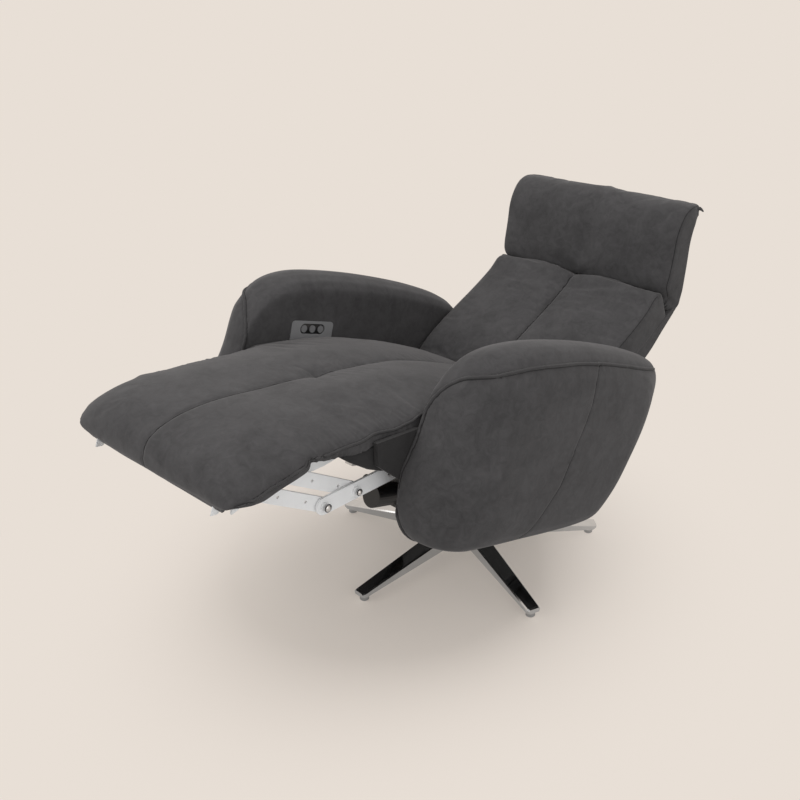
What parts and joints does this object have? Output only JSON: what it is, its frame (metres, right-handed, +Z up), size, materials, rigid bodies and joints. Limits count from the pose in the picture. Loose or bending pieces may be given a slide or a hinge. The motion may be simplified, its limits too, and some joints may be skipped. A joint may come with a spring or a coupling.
{
  "type": "star base swivel recliner",
  "caption": "Power swivel recliner on a star base with a glide and tilt seat, a linkage leg rest, a reclining back and a turning headrest.",
  "frame": {"origin": "on the floor, at the middle of the box around the open chair; the swivel axis is 121.3 mm behind it", "axes": "+Z up, -Y towards the front of the seat, +X towards the sitter's left"},
  "size_m": [0.8086, 1.4304, 0.8102],
  "materials": {
    "upholstery": "charcoal microfibre",
    "polished": "polished",
    "white_paint": "satin",
    "dark_steel": "satin",
    "black_plastic": "matte",
    "rubber": "matte",
    "plywood": "raw",
    "silver": "satin",
    "webbing": "woven"
  },
  "bodies": {
    "base": {"star_base": "polished", "foot_glide_1": "rubber", "foot_glide_2": "rubber", "foot_glide_3": "rubber", "foot_glide_4": "rubber", "foot_glide_5": "rubber", "pedestal_column": "polished", "bearing_ring": "dark_steel"},
    "turntable": {"retaining_washer": "silver", "swivel_plate": "dark_steel", "carrier_bracket_left": "dark_steel", "carrier_bracket_right": "dark_steel"},
    "seat_unit": {"rocker_plate_left": "dark_steel", "rocker_plate_right": "dark_steel", "front_cross_tube": "dark_steel", "rear_cross_tube": "dark_steel", "front_rail": "dark_steel", "seat_deck": "plywood", "seat_webbing": "webbing", "side_board_left": "plywood", "side_board_right": "plywood", "link_hanger_left": "dark_steel", "link_hanger_right": "dark_steel", "legrest_actuator_housing": "silver", "legrest_actuator_gearbox": "black_plastic", "legrest_actuator_motor": "black_plastic", "back_actuator_housing": "silver", "back_actuator_gearbox": "black_plastic", "back_actuator_motor": "black_plastic", "seat_cushion": "upholstery", "left_arm": "upholstery", "control_plate": "silver", "right_arm": "upholstery"},
    "backrest": {"back_frame": "plywood", "headrest_bar": "silver", "back_cushion": "upholstery", "back_shell": "upholstery"},
    "headrest": {"headrest_core": "plywood", "headrest_cushion": "upholstery"},
    "legrest": {"legrest_pad": "upholstery", "legrest_board": "plywood", "legrest_flange_left": "white_paint", "legrest_flange_right": "white_paint"},
    "leg_links": {"lift_link_left": "white_paint", "lift_link_right": "white_paint", "torque_tube": "dark_steel", "link_bumper_left": "rubber", "link_bumper_right": "rubber"},
    "lower_bars": {"lower_bar_left": "white_paint", "lower_bar_right": "white_paint"},
    "upper_bars": {"upper_bar_left": "white_paint", "upper_bar_right": "white_paint"},
    "legrest_rod": {"legrest_actuator_rod": "silver"},
    "back_rod": {"back_actuator_rod": "silver"},
    "button_a": {"button_1": "silver"},
    "button_b": {"button_2": "silver"},
    "button_c": {"button_3": "silver"}
  },
  "joints": [
    {"name": "swivel", "type": "hinge", "parent": "base", "child": "turntable", "pos_m": [0, 0.1213, 0.2], "axis": [0, 0, 1], "continuous": true},
    {"name": "footrest", "type": "hinge", "parent": "seat_unit", "child": "legrest", "pos_m": [0, -0.40389, 0.56449], "axis": [1, 0, 0], "range_deg": [0, 75]},
    {"name": "seat_tilt", "type": "hinge", "parent": "turntable", "child": "seat_unit", "pos_m": [0, 0.2233, 0.718], "axis": [1, 0, 0], "range_deg": [0, 17.5]},
    {"name": "lift_links", "type": "hinge", "parent": "seat_unit", "child": "leg_links", "pos_m": [0, -0.26171, 0.47668], "axis": [1, 0, 0], "range_deg": [0, 75]},
    {"name": "lower_bars", "type": "hinge", "parent": "leg_links", "child": "lower_bars", "pos_m": [0, -0.49675, 0.47948], "axis": [1, 0, 0], "range_deg": [-75, 0]},
    {"name": "upper_bars", "type": "hinge", "parent": "leg_links", "child": "upper_bars", "pos_m": [0, -0.42107, 0.47858], "axis": [1, 0, 0], "range_deg": [-75, 0]},
    {"name": "legrest_rod", "type": "slide", "parent": "seat_unit", "child": "legrest_rod", "axis": [0, 0.9537, -0.3007], "range_m": [0, 0.0548]},
    {"name": "back_recline", "type": "hinge", "parent": "seat_unit", "child": "backrest", "pos_m": [0, 0.26129, 0.38622], "axis": [1, 0, 0], "range_deg": [0, 33]},
    {"name": "back_rod", "type": "slide", "parent": "seat_unit", "child": "back_rod", "axis": [0, 0.9537, -0.3007], "range_m": [0, 0.0398]},
    {"name": "headrest_tilt", "type": "hinge", "parent": "backrest", "child": "headrest", "pos_m": [0, 0.59694, 0.56193], "axis": [1, 0, 0], "range_deg": [-42, 0]},
    {"name": "button_a_press", "type": "slide", "parent": "seat_unit", "child": "button_a", "axis": [-1, 0, 0], "range_m": [0, 0.0018], "stiffness_N_per_m": 300, "springref_m": -0.0005},
    {"name": "button_b_press", "type": "slide", "parent": "seat_unit", "child": "button_b", "axis": [-1, 0, 0], "range_m": [0, 0.0018], "stiffness_N_per_m": 300, "springref_m": -0.0005},
    {"name": "button_c_press", "type": "slide", "parent": "seat_unit", "child": "button_c", "axis": [-1, 0, 0], "range_m": [0, 0.0018], "stiffness_N_per_m": 300, "springref_m": -0.0005}
  ],
  "couplings": [
    {"joint": "seat_tilt", "follows": "footrest", "ratio": 0.23333},
    {"joint": "lift_links", "follows": "footrest", "ratio": 1},
    {"joint": "lower_bars", "follows": "footrest", "ratio": -1},
    {"joint": "upper_bars", "follows": "footrest", "ratio": -1},
    {"joint": "legrest_rod", "follows": "footrest", "m_per_rad": 0.041864},
    {"joint": "back_rod", "follows": "back_recline", "m_per_rad": 0.069102}
  ]
}
